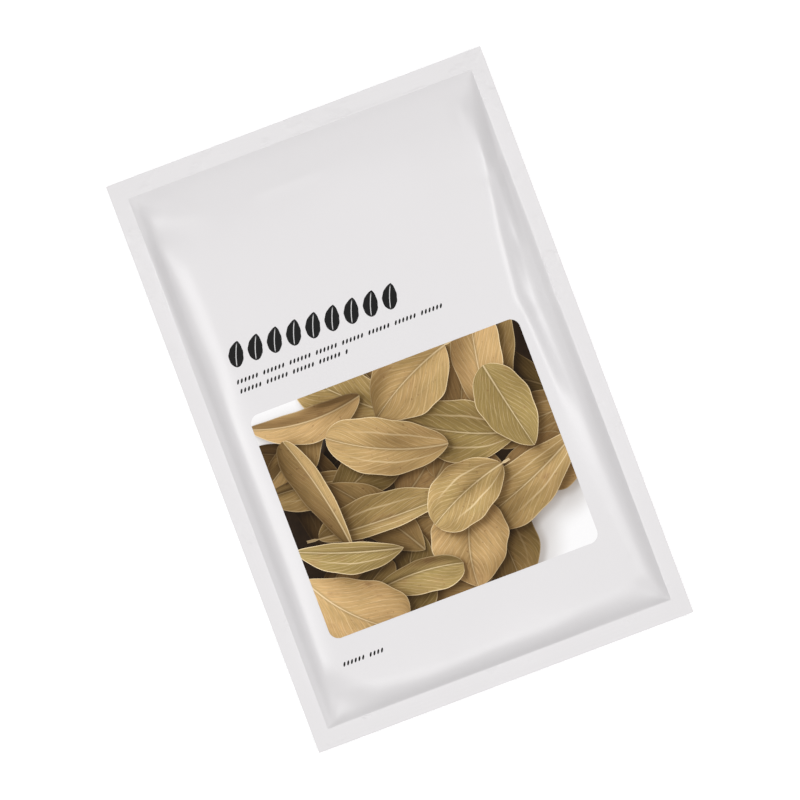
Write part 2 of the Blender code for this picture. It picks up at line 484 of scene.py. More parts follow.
@dataclass(frozen=True)
class PrintedLeafFinish:
    """Printed likeness of a dried leaf: blotched tan, pale veins and rim, shade from its pile.

    A light or a taper is a start and a slope. Any other pair of numbers holds the two values
    between which a pattern or a line fades, and line_edge counts in half widths of its line.
    """

    olive: Colour = (0.345, 0.240, 0.083)
    tan: Colour = (0.582, 0.370, 0.160)
    brown: Colour = (0.262, 0.132, 0.053)
    pale: Colour = (0.860, 0.670, 0.400)
    warmth: tuple[float, float, float] = (0.90, 1.0, 1.16)
    seed_step: float = 7.3
    blotches: Grain = Grain(0.14, 0.10, 4.0, 0.6)
    blotch_weight: float = 1.2
    smudge: Point = (0.58, 0.76)
    smudge_strength: float = 0.55
    flecks: Grain = Grain(0.9, 0.9)
    fleck: Point = (0.66, 0.74)
    fleck_strength: float = 0.5
    fibres: Grain = Grain(3.0, 70.0, 3.0, 0.65)
    fibre_light: Point = (0.45, 1.10)
    vein_count: float = 11.0
    vein_lean: float = 0.55
    vein_wander: float = 1.6
    vein_edge: Point = (0.12, 0.02)
    vein_breaks: Point = (0.30, 0.60)
    vein_strength: float = 0.34
    lateral_edge: Point = (0.045, 0.010)
    lateral_ends: Point = (0.95, 0.45)
    lateral_strength: float = 0.55
    groove_reach: Point = (0.2, 1.0)
    groove_depth: float = 0.24
    rib_half_width: float = 0.17
    rib_taper: Point = (1.30, -0.85)
    rib_strength: float = 0.60
    rim_width: float = 0.20
    rim_strength: float = 0.80
    line_edge: Point = (1.6, 0.6)
    roughness: float = 0.30
    specular: float = 0.04

    def drawn_line(self, bench: Workbench, away: object, half_width: float) -> bpy.types.NodeSocket:
        """Give 1 on a drawn line and 0 off it, for a distance away from the line."""
        return bench.step(away, *(half_width * part for part in self.line_edge))

    def body(self, bench: Workbench, tone: object, blotch: object, fleck: object) -> bpy.types.NodeSocket:
        """Mix the leaf's own colour from olive, tan and brown.

        Args:
            bench: The material under construction.
            tone: The leaf's tone, from 0, olive, to 1, tan.
            blotch: The pattern of the large blotches.
            fleck: The pattern of the small flecks.

        Returns:
            The colour's socket.
        """
        hue = bench.plus(tone, bench.times(bench.minus(blotch, 0.5), self.blotch_weight))
        body = bench.between(hue, self.olive, self.tan)
        for pattern, onset, strength in (
            (blotch, self.smudge, self.smudge_strength),
            (fleck, self.fleck, self.fleck_strength),
        ):
            body = bench.between(bench.times(bench.step(pattern, *onset), strength), body, self.brown)
        return body

    def veined(
        self, bench: Workbench, body: object, reach: object, blotch: object, fibre: object
    ) -> bpy.types.NodeSocket:
        """Draw the side veins, which break off here and there.

        Args:
            bench: The material under construction.
            body: The leaf's colour so far.
            reach: How far along the leaf the vein through a point leaves the midrib.
            blotch: The pattern that makes the veins wander.
            fibre: The pattern that breaks them.

        Returns:
            The colour's socket.
        """
        ladder = bench.plus(bench.times(reach, self.vein_count), bench.times(blotch, self.vein_wander))
        rung = bench.math("PINGPONG", ladder, 0.5)
        fade = bench.times(bench.step(fibre, *self.vein_breaks), self.vein_strength)
        return bench.between(bench.times(bench.step(rung, *self.vein_edge), fade), body, self.pale)

    def ribbed(
        self, bench: Workbench, body: object, across: object, share: object
    ) -> bpy.types.NodeSocket:
        """Draw the midrib in its darker groove.

        Args:
            bench: The material under construction.
            body: The leaf's colour so far.
            across: The distance from the midrib.
            share: The share of the leaf's length.

        Returns:
            The colour's socket.
        """
        off_rib = bench.size_of(across)
        beside = bench.step(off_rib, *self.groove_reach)
        groove = bench.line(beside, 1.0 - self.groove_depth, self.groove_depth)
        body = bench.tinted(body, groove)
        slim = bench.line(share, *self.rib_taper)
        rib = self.drawn_line(bench, bench.math("DIVIDE", off_rib, slim), self.rib_half_width)
        return bench.between(bench.times(rib, self.rib_strength), body, self.pale)

    def shaded(self, bench: Workbench, colour: object, light: object) -> bpy.types.NodeSocket:
        """Light the printed leaf: warmer in its shade and paler in its light.

        Args:
            bench: The material under construction.
            colour: The leaf's colour.
            light: The light on it, about 1 where it is flat.

        Returns:
            The lit colour's socket.
        """
        powers = [bench.math("POWER", light, power) for power in self.warmth]
        made = bench.node("ShaderNodeVectorMath", operation="MULTIPLY")
        bench.feed(made.inputs[0], colour)
        bench.feed(made.inputs[1], bench.joined(*powers))
        return made.outputs[0]

    def make(self) -> bpy.types.Material:
        """Make the material from the leaf's own places, forms and light.

        Returns:
            The material.
        """
        bench = Workbench("print_leaf")
        along, across, number = bench.attribute("leaf_place")
        share, side, margin = bench.attribute("leaf_form")
        light, tone, laterals = bench.attribute("leaf_light")

        seed = bench.times(number, self.seed_step)
        blotch = bench.leaf_pattern(self.blotches, along, across, seed)
        fleck = bench.leaf_pattern(self.flecks, along, across, seed)
        body = self.body(bench, tone, blotch, fleck)

        wide = bench.size_of(side)
        reach = bench.minus(share, bench.times(wide, self.vein_lean))
        fibre = bench.leaf_pattern(self.fibres, reach, side, seed)
        body = bench.tinted(body, bench.line(fibre, *self.fibre_light))
        body = self.veined(bench, body, reach, blotch, fibre)

        off_lateral = bench.size_of(bench.minus(wide, 0.5))
        lateral = bench.times(bench.step(off_lateral, *self.lateral_edge), laterals)
        ends = bench.times(bench.step(share, *self.lateral_ends), self.lateral_strength)
        body = bench.between(bench.times(lateral, ends), body, self.pale)

        body = self.ribbed(bench, body, across, share)
        rim = self.drawn_line(bench, margin, self.rim_width)
        body = bench.between(bench.times(rim, self.rim_strength), body, self.pale)
        bench.feed(bench.shader.inputs["Base Color"], self.shaded(bench, body, light))
        bench.gloss(self.roughness, self.specular)
        return bench.material


@dataclass(frozen=True)
class BlackInkFinish:
    """Black print, with the film left bare along the rib of each printed leaf."""

    ink: Colour = (0.010, 0.010, 0.010)
    worn_ink: Colour = (0.018, 0.017, 0.018)
    bare: Colour = (0.72, 0.71, 0.71)
    rib_edge: Point = (0.16, 0.08)
    wear: Grain = Grain(1.5, 1.5)
    wear_onset: Point = (0.55, 0.95)
    roughness: float = 0.30
    specular: float = 0.06

    def make(self) -> bpy.types.Material:
        """Make the material.

        Returns:
            The material.
        """
        bench = Workbench("print_ink")
        _, across, ribbed = bench.attribute("leaf_place")
        rib = bench.times(bench.step(bench.size_of(across), *self.rib_edge), ribbed)
        worn = bench.step(bench.pattern(self.wear), *self.wear_onset)
        ink = bench.between(worn, self.ink, self.worn_ink)
        bench.feed(bench.shader.inputs["Base Color"], bench.between(rib, ink, self.bare))
        bench.gloss(self.roughness, self.specular)
        return bench.material


@dataclass(frozen=True)
class DriedLeafFinish:
    """Matt brown leaf with paler veins, blotches and a fine net."""

    dark: Colour = (0.105, 0.056, 0.022)
    light: Colour = (0.300, 0.180, 0.075)
    vein: Colour = (0.360, 0.245, 0.120)
    blotches: Grain = Grain(0.07, 0.07, 5.0, 0.6)
    net_grain: float = 0.8
    net_edge: Point = (0.12, 0.0)
    net_depth: float = 0.05
    roughness: float = 0.78
    specular: float = 0.35

    def make(self) -> bpy.types.Material:
        """Make the material.

        Returns:
            The material.
        """
        bench = Workbench("dried_leaf")
        vein, _, _ = bench.attribute("leaf_light")
        body = bench.between(bench.pattern(self.blotches), self.dark, self.light)
        bench.feed(bench.shader.inputs["Base Color"], bench.between(vein, body, self.vein))
        net = bench.node("ShaderNodeTexVoronoi", feature="DISTANCE_TO_EDGE")
        bench.feed(net.inputs["Vector"], bench.place(self.net_grain, self.net_grain))
        net.inputs["Scale"].default_value = 1.0
        bench.bump(bench.step(net.outputs["Distance"], *self.net_edge), self.net_depth)
        bench.gloss(self.roughness, self.specular)
        return bench.material


@dataclass(frozen=True)
class FilmLine:
    """A straight line over the film, with a height that changes along it and fades at its ends."""

    start: Point
    end: Point
    height_at_start: float
    height_at_end: float
    spread: float
    fade_at_start: float = 6.0
    fade_at_end: float = 6.0

    def follow(self, x: Numbers, y: Numbers) -> tuple[Numbers, Numbers]:
        """Find some points beside the line.

        Args:
            x: The points' X.
            y: The points' Y.

        Returns:
            The line's height beside each point, and how far the point lies to its right, as seen
            from the line's start.
        """
        run_x, run_y = self.end[0] - self.start[0], self.end[1] - self.start[1]
        length = math.hypot(run_x, run_y)
        from_x, from_y = x - self.start[0], y - self.start[1]
        run = (from_x * run_x + from_y * run_y) / length
        away = (from_x * run_y - from_y * run_x) / length
        share = np.clip(run / length, 0.0, 1.0)
        height = self.height_at_start + share * (self.height_at_end - self.height_at_start)
        begins = smooth_step(-self.fade_at_start / 2, self.fade_at_start / 2, run)
        ends = smooth_step(-self.fade_at_end / 2, self.fade_at_end / 2, length - run)
        return height * begins * ends, away


@dataclass(frozen=True)
class Crease(FilmLine):
    """A soft ridge in the film, or a valley if its heights are negative."""

    def relief(self, x: Numbers, y: Numbers) -> Numbers:
        """Give the height that the crease adds at some points."""
        height, away = self.follow(x, y)
        return height * np.exp(-0.5 * (away / self.spread) ** 2)


@dataclass(frozen=True)
class Ledge(FilmLine):
    """A step down in the film, away from the pouch's middle, which lies to the right of its line.

    The seam beside it rises by so much less, so the film keeps its height on both sides.
    """

    def relief(self, x: Numbers, y: Numbers, seam: Numbers) -> Numbers:
        """Give the height that the ledge adds, where the seam reaches a share of its full height."""
        height, away = self.follow(x, y)
        return height * (smooth_step(-self.spread, self.spread, away) - seam)


FRONT_CREASES = (
    # Full shoulders of the upper half
    Crease((-44.4, 66.0), (-44.4, 20.0), 0.50, 0.40, 3.40, 14.0, 20.0),
    Crease((47.6, 77.0), (47.2, 58.0), 1.10, 0.30, 2.60, 8.0, 12.0),
    # Ridge out of the top left corner, and a streak under the top seal
    Crease((-50.0, 79.5), (-37.0, 73.0), 0.60, 0.65, 3.20, 8.0, 12.0),
    Crease((-20.0, 72.8), (2.0, 73.0), 0.22, 0.22, 1.50, 7.0, 7.0),
    # Ridge over the bottom seal and a thin streak at the lower right
    Crease((-18.0, -78.8), (12.0, -78.8), 0.10, 0.10, 1.80, 16.0, 18.0),
    Crease((46.9, -53.0), (48.0, -68.0), 0.05, 0.05, 0.70, 4.0, 2.0),
)
FRONT_LEDGES = (
    # Fold down the right side: a steep wedge that parts in two steps, and the softer steps below
    Ledge((52.6, 76.0), (50.9, 56.0), 0.60, 3.20, 2.30, 14.0, 8.0),
    Ledge((51.8, 54.0), (51.2, 32.0), 1.40, 0.80, 1.50, 8.0, 8.0),
    Ledge((49.6, 54.0), (45.5, 14.0), 1.20, 0.90, 2.40, 10.0, 8.0),
    Ledge((46.6, 42.0), (43.6, 14.0), 0.40, 0.55, 2.20, 14.0, 8.0),
    Ledge((50.2, 32.0), (50.2, 14.0), 1.00, 0.95, 3.00, 8.0, 8.0),
    Ledge((45.7, 14.0), (47.0, -18.0), 1.35, 0.70, 2.40, 8.0, 18.0),
    Ledge((50.2, 14.0), (50.4, -18.0), 0.95, 0.60, 2.80, 8.0, 18.0),
    Ledge((53.6, 70.0), (53.6, -20.0), 0.50, 0.40, 1.50, 14.0, 20.0),
    # Left seam: steeper in its upper half, and a wide slope in the top left corner
    Ledge((-52.8, 30.0), (-53.0, 70.0), 0.80, 1.50, 1.80, 24.0, 10.0),
    Ledge((-44.0, 72.0), (-44.0, 80.0), 0.50, 0.60, 6.00, 10.0, 10.0),
    # Wider slope towards the ends of the bottom seam, and across its left corner
    Ledge((50.0, -79.0), (20.0, -81.2), 0.95, 0.60, 4.50, 8.0, 18.0),
    Ledge((-24.0, -81.2), (-50.0, -79.0), 0.60, 0.95, 4.50, 18.0, 8.0),
    Ledge((-40.0, -80.0), (-50.0, -70.0), 1.20, 1.20, 5.00, 10.0, 10.0),
)
SEAM_BEADS = (
    Crease((8.0, 85.2), (33.0, 85.3), 0.10, 0.07, 0.45, 6.0, 3.0),
    Crease((-50.0, 85.2), (50.0, 85.2), 0.02, 0.02, 0.40, 4.0, 4.0),
)
BACK_CREASES = (
    Crease((-50.0, 71.0), (-34.0, 60.0), -0.40, -0.15, 1.80, 6.0, 12.0),
    Crease((50.5, 76.0), (38.0, 63.0), -0.45, -0.15, 1.90, 6.0, 12.0),
    Crease((49.0, 22.0), (40.0, 17.0), -0.30, -0.10, 1.30, 5.0, 8.0),
    Crease((-49.5, -18.0), (-41.0, -22.0), -0.28, -0.10, 1.20, 5.0, 8.0),
    Crease((-49.0, -70.0), (-38.0, -60.0), -0.38, -0.12, 1.70, 6.0, 10.0),
    Crease((49.5, -72.0), (37.0, -62.0), -0.40, -0.14, 1.80, 6.0, 10.0),
    Crease((12.0, -80.0), (14.0, -68.0), -0.22, -0.08, 1.40, 5.0, 8.0),
    Crease((-18.0, 78.0), (-15.0, 64.0), -0.20, -0.08, 1.60, 5.0, 8.0),
)


@dataclass(frozen=True)
class EdgeRise:
    """How the film rises from a seal: a slow fill and, for the rest, a round shoulder."""

    fill: float
    fill_share: float
    shoulder: float
    shoulder_power: float

    def share(self, distance: Numbers) -> Numbers:
        """Give the share of the full height at a distance inside the seal."""
        filled = self.fill_share * slow_rise(distance, self.fill)
        return filled + (1.0 - self.fill_share) * steep_rise(distance, self.shoulder, self.shoulder_power)


@dataclass(frozen=True)
class SwollenForm:
    """Heights of the two webs over the table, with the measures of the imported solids."""

    width: float
    length: float
    side_seal: float = 5.0
    end_seal: float = 5.75
    left_rise: EdgeRise = EdgeRise(6.6, 0.62, 3.5, 4.0)
    right_rise: EdgeRise = EdgeRise(5.2, 0.70, 2.8, 2.5)
    bottom_rise: EdgeRise = EdgeRise(30.0, 0.42, 2.6, 1.6)
    top_fill: float = 10.5
    corner_power: float = 1.6
    seal_height: float = 3.9
    web_gap: float = 0.3
    solid_film: float = 0.3
    front_rise: float = 4.5
    back_drop: float = 6.4
    flat_spot_blend: float = 1.2
    wave_height: float = 0.3
    wave_lengths: Point = (64.0, 75.0)
    wave_phases: Point = (0.6, 1.1)
    front_crease_fade: float = 4.0
    back_crease_fade: float = 2.0
    sheet: float = 0.12
    skin: float = 0.14

    @property
    def inner_x(self) -> float:
        """Give the distance from the middle to the inner line of a side seal."""
        return self.width / 2 - self.side_seal

    @property
    def inner_y(self) -> float:
        """Give the distance from the middle to the inner line of an end seal."""
        return self.length / 2 - self.end_seal

    def inside(self, x: Numbers, y: Numbers) -> tuple[Numbers, Numbers, Numbers, Numbers]:
        """Measure how far some points lie inside the four seals.

        Args:
            x: The points' X.
            y: The points' Y.

        Returns:
            The distances inside the left, right, bottom and top seal, and 0 on a seal.
        """
        inner_x, inner_y = self.inner_x, self.inner_y
        edges = (inner_x + x, inner_x - x, inner_y + y, inner_y - y)
        return tuple(np.maximum(edge, 0.0) for edge in edges)

    def shares(self, x: Numbers, y: Numbers) -> tuple[Numbers, Numbers]:
        """Give the shares of the full height that the seams allow.

        Args:
            x: The points' X.
            y: The points' Y.

        Returns:
            The share between the side seams, and the share between the end seams.
        """
        left, right, bottom, top = self.inside(x, y)
        across = self.left_rise.share(left) * self.right_rise.share(right)
        return across, self.bottom_rise.share(bottom) * slow_rise(top, self.top_fill)

    def swell(self, x: Numbers, y: Numbers) -> Numbers:
        """Give the share of the full swell, from 0 on the seals to almost 1 in the middle.

        Args:
            x: The points' X.
            y: The points' Y.

        Returns:
            The share. Near a corner it follows the lesser of its two shares, so the seams meet
            there at a right angle.
        """
        across, along = self.shares(x, y)
        first, second = across**self.corner_power, along**self.corner_power
        either = np.maximum(first + second - first * second, TINY)
        return across * along / either ** (1.0 / self.corner_power)

    def beside_seam(self, ledge: Ledge, x: Numbers, y: Numbers) -> Numbers:
        """Give the height that a ledge adds at some points.

        Args:
            ledge: The ledge, beside a side seam or beside the bottom seam.
            x: The points' X.
            y: The points' Y.

        Returns:
            The height, which fades towards the seams that cross the ledge.
        """
        left, right, bottom, _ = self.inside(x, y)
        across, along = self.shares(x, y)
        if abs(ledge.end[0] - ledge.start[0]) > abs(ledge.end[1] - ledge.start[1]):
            return across * ledge.relief(x, y, self.bottom_rise.share(bottom))
        on_right = ledge.start[0] > 0.0
        seam = self.right_rise.share(right) if on_right else self.left_rise.share(left)
        return along * ledge.relief(x, y, seam)

    def seal_plane(self, x: Numbers, y: Numbers) -> Numbers:
        """Give the height of the plane between the webs, with its slow wave.

        Args:
            x: The points' X.
            y: The points' Y.

        Returns:
            The heights.
        """
        (length_x, length_y), (phase_x, phase_y) = self.wave_lengths, self.wave_phases
        wave = np.sin(math.tau * x / length_x + phase_x) * np.sin(math.tau * y / length_y + phase_y)
        return self.seal_height + self.wave_height * wave

    def front(self, x: Numbers, y: Numbers) -> Numbers:
        """Give the height of the front web's outer face.

        Args:
            x: The points' X.
            y: The points' Y.

        Returns:
            The heights.
        """
        gate = smooth_step(0.0, self.front_crease_fade, np.minimum.reduce(self.inside(x, y)))
        creases = sum(crease.relief(x, y) for crease in FRONT_CREASES) * gate
        ledges = sum(self.beside_seam(ledge, x, y) for ledge in FRONT_LEDGES)
        beads = sum(bead.relief(x, y) for bead in SEAM_BEADS)
        rise = self.front_rise * self.swell(x, y) + creases + ledges
        return self.seal_plane(x, y) + self.skin + rise + beads

    def back(self, x: Numbers, y: Numbers) -> Numbers:
        """Give the height of the back web's outer face, flat on the table in its middle.

        Args:
            x: The points' X.
            y: The points' Y.

        Returns:
            The heights.
        """
        gate = smooth_step(0.0, self.back_crease_fade, np.minimum.reduce(self.inside(x, y)))
        creases = sum(crease.relief(x, y) for crease in BACK_CREASES) * gate
        hanging = self.seal_plane(x, y) - self.skin - self.back_drop * self.swell(x, y) - creases
        return self.rest_on_table(hanging)

    def rest_on_table(self, hanging: Numbers) -> Numbers:
        """Flatten a hanging web where it would go through the table."""
        overlap = np.maximum(self.flat_spot_blend - np.abs(hanging), 0.0) / self.flat_spot_blend
        return np.maximum(hanging, 0.0) + overlap**2 * self.flat_spot_blend / 4

    def cavity(self, x: Numbers, y: Numbers) -> tuple[Numbers, Numbers]:
        """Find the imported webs' inner faces, between which the leaves lie.

        Args:
            x: The points' X.
            y: The points' Y.

        Returns:
            The heights of the back web's inner face, and those of the front web's.
        """
        swell = self.swell(x, y)
        plane = self.seal_plane(x, y)
        hanging = plane - self.web_gap / 2 - self.solid_film - self.back_drop * swell
        floor = self.rest_on_table(hanging) + self.solid_film
        return floor, plane + self.web_gap / 2 + self.front_rise * swell


def spots_of(shape: bmesh.types.BMesh) -> Numbers:
    """Read the places of a shape's vertices.

    Args:
        shape: The shape.

    Returns:
        One row of X, Y and Z for each vertex.
    """
    return np.array([vertex.co[:] for vertex in shape.verts], float).reshape(-1, 3)


def put_spots(shape: bmesh.types.BMesh, x: Numbers, y: Numbers, z: Numbers) -> None:
    """Move a shape's vertices.

    Args:
        shape: The shape.
        x: The new X of each vertex.
        y: The new Y of each vertex.
        z: The new Z of each vertex.
    """
    for vertex, place in zip(shape.verts, np.column_stack((x, y, z)).tolist()):
        vertex.co = place


def put_values(shape: bmesh.types.BMesh, name: str, *parts: Numbers) -> None:
    """Store a vector attribute on a shape's vertices.

    Args:
        shape: The shape.
        name: The attribute's name.
        *parts: Its three parts, one number for each vertex.
    """
    layers = shape.verts.layers.float_vector
    layer = layers.get(name) or layers.new(name)
    for vertex, values in zip(shape.verts, np.column_stack(parts).tolist()):
        vertex[layer] = values


def add_to(joined: bmesh.types.BMesh, shape: bmesh.types.BMesh) -> None:
    """Add a shape to a joined one.

    Args:
        joined: The joined shape, which grows.
        shape: The shape to add. It is freed.
    """
    part = bpy.data.meshes.new("part")
    shape.to_mesh(part)
    shape.free()
    joined.from_mesh(part)
    bpy.data.meshes.remove(part)


def grid_slab(columns: int, rows: int) -> bmesh.types.BMesh:
    """Make a closed slab of unit size on a grid.

    Args:
        columns: Cells along X.
        rows: Cells along Y.

    Returns:
        The slab, from -0.5 to 0.5 along X and Y and from 0 to 1 along Z.
    """
    slab = bmesh.new()
    bmesh.ops.create_grid(slab, x_segments=columns, y_segments=rows, size=0.5)
    extruded = bmesh.ops.extrude_face_region(slab, geom=slab.faces[:])["geom"]
    upper = [item for item in extruded if isinstance(item, bmesh.types.BMVert)]
    bmesh.ops.translate(slab, vec=(0.0, 0.0, 1.0), verts=upper)
    bmesh.ops.recalc_face_normals(slab, faces=slab.faces[:])
    return slab


def finish_piece(
    name: str, shape: bmesh.types.BMesh, material: bpy.types.Material
) -> bpy.types.Object:
    """Turn a shape into a finished piece that rides with the pouch.

    Args:
        name: The piece's name.
        shape: The shape, in millimetres. It is freed.
        material: The piece's material.

    Returns:
        The piece, in metres.
    """
    bmesh.ops.scale(shape, vec=(MM, MM, MM), verts=shape.verts[:])
    mesh = bpy.data.meshes.new(name)
    shape.to_mesh(mesh)
    shape.free()
    mesh.shade_smooth()
    mesh.set_sharp_from_angle(angle=SHARP_ANGLE)
    mesh.materials.append(material)
    piece = bpy.data.objects.new(name, mesh)
    bpy.context.scene.collection.objects.link(piece)
    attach(piece, BODY)
    return piece


def report(piece: bpy.types.Object) -> None:
    """Log a finished piece's name and size.

    Args:
        piece: The piece.
    """
    low = [min(corner[axis] for corner in piece.bound_box) / MM for axis in range(3)]
    high = [max(corner[axis] for corner in piece.bound_box) / MM for axis in range(3)]
    size = " x ".join(f"{top - bottom:.1f}" for bottom, top in zip(low, high))
    LOG.info("%s: %s mm, %d faces", piece.name, size, len(piece.data.polygons))


class WebSide(Enum):
    """The two webs of film, each with the node that it stands for."""

    FRONT = "front_film"
    BACK = "back_film"


@dataclass
class FilmWeb:
    """One web of film: a thin closed sheet over the whole outline."""

    form: SwollenForm
    side: WebSide
    seal_cells: int = 9
    shoulder: float = 20.0
    shoulder_cells: int = 42
    packing: float = 1.5
    middle_cell: float = 1.0

    def lines(self, half: float, seal: float) -> Numbers:
        """Give the places of the grid lines across one direction.

        Args:
            half: Half of the film's size.
            seal: The seal's width.

        Returns:
            The places, from one edge to the other, packed towards the seal's inner line.
        """
        inner = half - seal
        flat = inner - self.shoulder
        outward = seal * np.linspace(0.0, 1.0, self.seal_cells + 1) ** self.packing
        inward = self.shoulder * np.linspace(0.0, 1.0, self.shoulder_cells + 1) ** self.packing
        middle = np.linspace(-flat, flat, round(2 * flat / self.middle_cell) + 1)
        upper = np.concatenate((inner - inward[-2::-1], inner + outward[1:]))
        return np.concatenate((-upper[::-1], middle, upper))

    def build(self, material: bpy.types.Material) -> bpy.types.Object:
        """Make the web.

        Args:
            material: The film's material.

        Returns:
            The finished piece.
        """
        across = self.lines(self.form.width / 2, self.form.side_seal)
        along = self.lines(self.form.length / 2, self.form.end_seal)
        shape = grid_slab(len(across) - 1, len(along) - 1)
        spots = spots_of(shape)
        x = across[np.rint((spots[:, 0] + 0.5) * (len(across) - 1)).astype(int)]
        y = along[np.rint((spots[:, 1] + 0.5) * (len(along) - 1)).astype(int)]
        if self.side is WebSide.FRONT:
            z = self.form.front(x, y) - self.form.sheet * (1.0 - spots[:, 2])
        else:
            z = self.form.back(x, y) + self.form.sheet * spots[:, 2]
        put_spots(shape, x, y, z)
        piece = finish_piece(f"{self.side.value}_skin", shape, material)
        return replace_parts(piece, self.side.value)


@dataclass(frozen=True)
class PictureFrame:
    """Rounded rectangle that the printed picture fills."""

    left: float = -44.3
    right: float = 41.4
    bottom: float = -60.5
    top: float = 10.9
    radius: float = 3.0
    cuts: int = 32
    touch: float = 1e-5

    def trim(self, shape: bmesh.types.BMesh) -> None:
        """Cut a flat shape to the rounded rectangle, by a ring of planes that touch it.

        Args:
            shape: The shape, which is changed.
        """
        middle_x, middle_y = (self.left + self.right) / 2, (self.bottom + self.top) / 2
        reach_x = (self.right - self.left) / 2 - self.radius
        reach_y = (self.top - self.bottom) / 2 - self.radius
        for cut in range(self.cuts):
            angle = math.tau * cut / self.cuts
            away = Vector((math.cos(angle), math.sin(angle), 0.0))
            corner_x = middle_x + math.copysign(reach_x, away.x)
            corner_y = middle_y + math.copysign(reach_y, away.y)
            bmesh.ops.bisect_plane(
                shape,
                geom=shape.verts[:] + shape.edges[:] + shape.faces[:],
                dist=self.touch,
                plane_co=Vector((corner_x, corner_y, 0.0)) + away * self.radius,
                plane_no=away,
                clear_outer=True,
            )

    def holds(self, x: Numbers, y: Numbers) -> bool:
        """Tell whether all points lie clear inside the rectangle.

        Args:
            x: The points' X.
            y: The points' Y.

        Returns:
            True if no corner can touch them.
        """
        inset = self.radius
        inside_x = (x > self.left + inset) & (x < self.right - inset)
        return bool(np.all(inside_x & (y > self.bottom + inset) & (y < self.top - inset)))


class LeafOutline(Enum):
    """Outline of a printed leaf: powers of its rise from the stalk and of its fall to the tip."""

    OVAL = (0.62, 0.48)
    SPOON = (0.95, 0.44)
    EGG = (0.56, 0.74)
    LANCE = (0.80, 0.85)


@dataclass(frozen=True)
class Curling:
    """How the printed leaves seem to curl, and how the picture's own lamp shines on them."""

    lamp: Vector
    light_limits: Point
    phase: float = 2.1
    swings: float = 1.3
    dents_across: float = 0.9
    dents_along: float = 1.1
    dent_shift: float = 1.7
    dent_lengthwise: float = 0.7
    swing_lengthwise: float = 0.5
    rib_share: float = 0.05
    edge_start: float = 0.62


PRINT_CURLING = Curling(lamp=Vector((-0.50, 0.44, 0.75)), light_limits=(0.22, 1.45))


